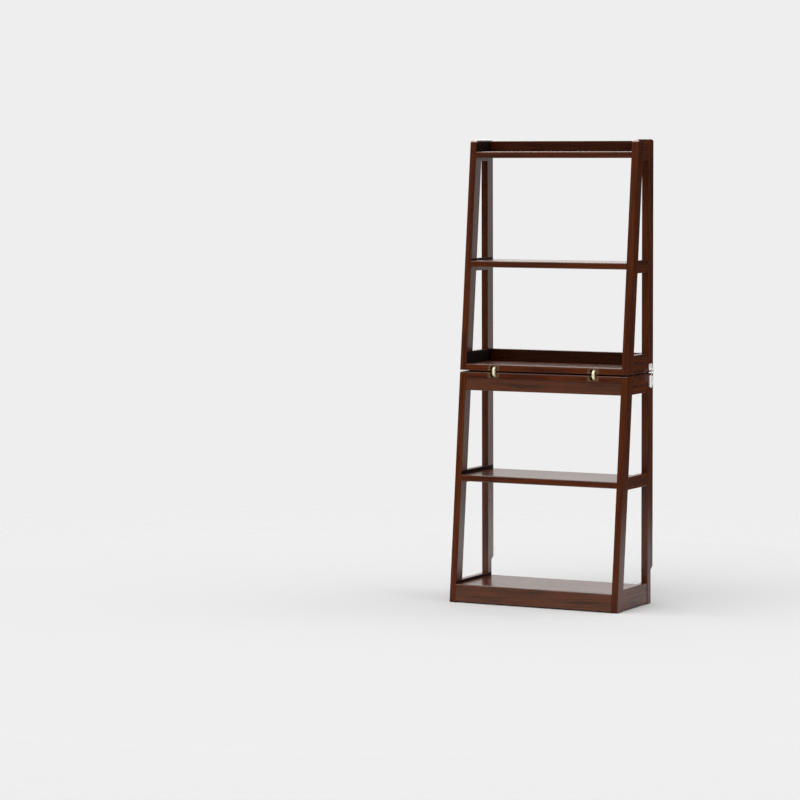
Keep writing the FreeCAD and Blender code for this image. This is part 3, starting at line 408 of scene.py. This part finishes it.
def metal(name, bright, dull, worn, smooth, rough, brushing=(1.0, 1.0, 1.0), share=1.0, glow=0.0):
    """A metal with fine scratches, a thin tarnish that gathers in patches, and bare edges.

    Smooth and rough are the ends of its roughness, and brushing stretches the scratches. The share is
    how far the surface shader treats it as metal. The glow is painted light: an emission in its bright
    colour, a painted highlight that makes it shine though it is no lamp.
    """
    piece = Finish(name)
    scratches = piece.noise(piece.moved(piece.place, stretch=brushing), *SCRATCH_NOISE)
    cloud = piece.noise(piece.place, *CLOUD_NOISE)
    spots = piece.spread(piece.noise(piece.place, *SPOT_NOISE), *SPOT_RANGE)
    tarnished = piece.blend(piece.spread(cloud, *CLOUD_RANGE), bright, dull)
    scratched = piece.blend(piece.spread(scratches, *SCRATCH_RANGE), tarnished, dull)
    spotted = piece.blend(piece.times(spots, SPOT_DULL_SHARE), scratched, dull)
    piece.paint(piece.blend(piece.times(piece.edges(METAL_EDGE_REACH), METAL_WEAR_SHARE), spotted, worn))
    marks = piece.plus(cloud, piece.times(scratches, SCRATCH_ROUGH_SHARE))
    piece.polish(piece.spread(marks, *METAL_ROUGH_RANGE, smooth, rough))
    piece.relief(scratches, METAL_RELIEF)
    # The glow is painted light: an emission that makes the piece shine in its bright colour
    piece.fix(Metallic=share, Emission_Color=(*bright, 1.0), Emission_Strength=glow)
    return piece.material


def dress(node, material):
    """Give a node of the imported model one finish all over."""
    mesh = nodes[node].data
    mesh.materials.clear()
    mesh.materials.append(material)


# Wood. Each board and post is cut from its own place in the tree, so no two share a figure.

GOLDEN_ANGLE = 2.399963
GOLDEN_SHARE = 0.618034
FIRST_ANGLE = 0.8
PITH_STEP = 0.37
PITH_REACH = 0.055
PITH_DROP = 0.02
TILT = 0.02
TONE_LOW = 0.95
TONE_SPREAD = 0.10

# Painted shade and light: the back apron and crown rail, in shade inside the tray, are painted darker,
# and the lowest fronts, lit from the pale floor, are painted lighter
PAINTED_LIGHT_TONES = {
    "upper_back_apron": 0.48,
    "upper_crown_rail": 0.64,
    "lower_front_apron": 1.10,
    "lower_front_plinth": 1.06,
}


def grain_of(node):
    """Give the way in which a piece's grain runs."""
    if "front_leg" in node:
        return "leaning"
    if "rear_post" in node:
        return "upright"
    if "rail_" in node:
        return "front to back"
    return "across"


subparts = frame["record"]["subparts"]
WOOD = [part["node"] for part in subparts if part["material_slot"] == "walnut_lacquer"]
for number, node in enumerate(WOOD):
    grain = grain_of(node)
    low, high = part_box(node)
    middle = Euler(GRAIN_TURNS[grain]).to_matrix() @ ((low + high) / 2)
    around = FIRST_ANGLE + GOLDEN_ANGLE * number
    pith = Vector((
        PITH_STEP * number,
        PITH_REACH * cos(around),
        -PITH_REACH * abs(sin(around)) - PITH_DROP,
    ))
    in_side_frame = node.endswith(("_right", "_left"))
    dress(node, walnut(
        f"walnut_{node}",
        grain,
        pith - middle,
        TILT if number % 2 else -TILT,
        # Listed boards get their painted shade and light; the others a random tone
        PAINTED_LIGHT_TONES.get(node, TONE_LOW + TONE_SPREAD * ((number * GOLDEN_SHARE) % 1.0)),
        PAINTED_SHEEN_SHARES.get(node, 0.0),
        PAINTED_SHADE_BANDS[node.split("_")[0]] if in_side_frame else (),
        "upper_front_leg" in node,
    ))

METALS = {
    "leaf_brass": {
        "name": "aged_brass_leaf",
        "bright": (0.20, 0.092, 0.036), "dull": (0.11, 0.046, 0.017), "worn": (0.46, 0.31, 0.15),
        "smooth": 0.40, "rough": 0.60, "brushing": (1.0, 8.0, 8.0), "share": 0.4,
    },
    # The link's glow is a painted highlight
    "link_brass": {
        "name": "pale_brass_link_painted_glow",
        "bright": (0.98, 0.89, 0.63), "dull": (0.93, 0.80, 0.48), "worn": (0.98, 0.93, 0.76),
        "smooth": 0.38, "rough": 0.50, "brushing": (6.0, 1.0, 1.0), "share": 0.35, "glow": 0.2,
    },
    "pin_steel": {
        "name": "drawn_steel_pin",
        "bright": (0.50, 0.50, 0.50), "dull": (0.33, 0.33, 0.34), "worn": (0.62, 0.62, 0.62),
        "smooth": 0.25, "rough": 0.40, "brushing": (1.0, 9.0, 9.0),
    },
    "hinge_screw_brass": {
        "name": "aged_brass_screw",
        "bright": (0.44, 0.30, 0.13), "dull": (0.22, 0.14, 0.06), "worn": (0.62, 0.46, 0.22),
        "smooth": 0.30, "rough": 0.50,
    },
    # The latch's and its screws' glow is a painted highlight that makes them shine near white
    "latch_nickel": {
        "name": "nickel_latch_painted_glow",
        "bright": (0.95, 0.945, 0.93), "dull": (0.84, 0.83, 0.81), "worn": (0.97, 0.965, 0.96),
        "smooth": 0.34, "rough": 0.46, "brushing": (1.0, 8.0, 1.0), "share": 0.4, "glow": 0.25,
    },
    "latch_screw_nickel": {
        "name": "nickel_screw_painted_glow",
        "bright": (0.90, 0.89, 0.88), "dull": (0.76, 0.75, 0.74), "worn": (0.95, 0.94, 0.93),
        "smooth": 0.34, "rough": 0.46, "share": 0.4, "glow": 0.15,
    },
}
FITTINGS = {
    "dowel_wood": beech("beech_dowel"),
    "seam_rubber": rubber("seam_pad_rubber"),
    "washer_nylon": nylon("dark_nylon_washer"),
}
for slot, values in METALS.items():
    FITTINGS[slot] = metal(**values)
for part in subparts:
    if part["material_slot"] in FITTINGS:
        dress(part["node"], FITTINGS[part["material_slot"]])


# Stage: a pale paper floor that fades out at its rim into a world of the same tone

PAPER_TONE = 0.86
PAPER_HALF = 5.0
PAPER_CENTRE = (-0.2, -0.5, 0.0)
FADE_START = 2.3
FADE_END = 3.3
BACKDROP_TONE = 0.855
ROOM_STRENGTH = 0.05

paper_sheet = bmesh.new()
bmesh.ops.create_grid(paper_sheet, x_segments=1, y_segments=1, size=PAPER_HALF)
floor_mesh = bpy.data.meshes.new("floor")
paper_sheet.to_mesh(floor_mesh)
paper_sheet.free()
floor = bpy.data.objects.new("floor", floor_mesh)
bpy.context.scene.collection.objects.link(floor)

paper = Finish("pale_paper")
paper.fix(Base_Color=(PAPER_TONE, PAPER_TONE, PAPER_TONE, 1.0), Roughness=0.9, Specular_IOR_Level=0.0)
reach = paper.add("ShaderNodeVectorMath", operation="LENGTH")
paper.join(paper.moved(paper.place, [-value for value in PAPER_CENTRE]), reach.inputs[0])
clear = paper.add("ShaderNodeBsdfTransparent")
rim = paper.add("ShaderNodeMixShader")
paper.join(paper.spread(reach.outputs["Value"], FADE_START, FADE_END), rim.inputs[0])
paper.join(paper.surface.outputs["BSDF"], rim.inputs[1])
paper.join(clear.outputs[0], rim.inputs[2])
paper.join(rim.outputs[0], paper.output.inputs["Surface"])
floor_mesh.materials.append(paper.material)

scene = bpy.context.scene
scene.view_settings.view_transform = "Standard"

world = bpy.data.worlds.new("studio")
scene.world = world
world.use_nodes = True
tree = world.node_tree
tree.nodes.clear()
backdrop = tree.nodes.new("ShaderNodeBackground")
backdrop.inputs["Color"].default_value = (BACKDROP_TONE, BACKDROP_TONE, BACKDROP_TONE, 1.0)
room = tree.nodes.new("ShaderNodeBackground")
room.inputs["Color"].default_value = (1.0, 1.0, 1.0, 1.0)
room.inputs["Strength"].default_value = ROOM_STRENGTH
rays = tree.nodes.new("ShaderNodeLightPath")
choice = tree.nodes.new("ShaderNodeMixShader")
out = tree.nodes.new("ShaderNodeOutputWorld")
tree.links.new(rays.outputs["Is Camera Ray"], choice.inputs[0])
tree.links.new(room.outputs[0], choice.inputs[1])
tree.links.new(backdrop.outputs[0], choice.inputs[2])
tree.links.new(choice.outputs[0], out.inputs["Surface"])


def sun(name, azimuth, elevation, strength, spread):
    """A distant soft light. Azimuth 0 shines from the front and 90 from the right."""
    lamp = bpy.data.lights.new(name, "SUN")
    lamp.energy = strength
    lamp.angle = radians(spread)
    piece = bpy.data.objects.new(name, lamp)
    scene.collection.objects.link(piece)
    turn, lift = radians(azimuth), radians(elevation)
    towards = Vector((sin(turn) * cos(lift), -cos(turn) * cos(lift), sin(lift)))
    piece.rotation_euler = towards.to_track_quat("Z", "Y").to_euler()
    return piece


def card(name, place, aim, width, height, glow, colour=(1.0, 1.0, 1.0)):
    """A soft card of light that shows in gloss, but neither to the camera nor on matt surfaces."""
    lamp = bpy.data.lights.new(name, "AREA")
    lamp.shape = "RECTANGLE"
    lamp.size, lamp.size_y = width, height
    lamp.energy = glow * pi * width * height
    lamp.color = colour
    piece = bpy.data.objects.new(name, lamp)
    scene.collection.objects.link(piece)
    piece.location = place
    piece.rotation_euler = (Vector(place) - Vector(aim)).to_track_quat("Z", "Y").to_euler()
    piece.visible_camera = False
    piece.visible_diffuse = False


sun("key", azimuth=-40, elevation=55, strength=1.15, spread=75)
sun("top", azimuth=0, elevation=88, strength=1.55, spread=100)
sun("fill", azimuth=110, elevation=45, strength=0.65, spread=60)
low_sun = sun("low", azimuth=-10, elevation=5, strength=0.4, spread=40)
low_sun.visible_glossy = False

RACK_MIDDLE = (0.0, -0.05, 0.75)
card("back_card", place=(-0.38, 0.7, 1.05), aim=(-0.38, 0.0, 1.05), width=1.04, height=2.1, glow=0.87,
     colour=(1.0, 0.965, 0.935))
card("rim_card", place=(-1.0, 1.0, 2.45), aim=RACK_MIDDLE, width=2.0, height=1.8, glow=4.2)
card("sheen_card", place=(-0.9, -0.8, 3.3), aim=RACK_MIDDLE, width=1.8, height=1.5, glow=1.75)


# Camera at the photograph's place: it looks slightly down and to the left

CAMERA_PLACE = (4.59716, -9.653927, 1.516461)
CAMERA_YAW = -0.490202
CAMERA_PITCH = 0.079646
CAMERA_ROLL = -0.003714
CAMERA_REACH = 200.0
SENSOR = 36.0
PHOTO_WIDTH = 800
FOCAL_PIXELS = 3301.797

view = bpy.data.cameras.new("camera")
view.sensor_width = SENSOR
view.lens = SENSOR * FOCAL_PIXELS / PHOTO_WIDTH
view.clip_end = CAMERA_REACH
camera = bpy.data.objects.new("camera", view)
scene.collection.objects.link(camera)
forward = Vector((
    sin(CAMERA_YAW) * cos(CAMERA_PITCH),
    cos(CAMERA_YAW) * cos(CAMERA_PITCH),
    -sin(CAMERA_PITCH),
))
level = Vector((cos(CAMERA_YAW), -sin(CAMERA_YAW), 0.0))
rise = level.cross(forward)
right = cos(CAMERA_ROLL) * level + sin(CAMERA_ROLL) * rise
up = -sin(CAMERA_ROLL) * level + cos(CAMERA_ROLL) * rise
camera.rotation_euler = Matrix((right, up, -forward)).transposed().to_euler()
camera.location = CAMERA_PLACE
scene.camera = camera
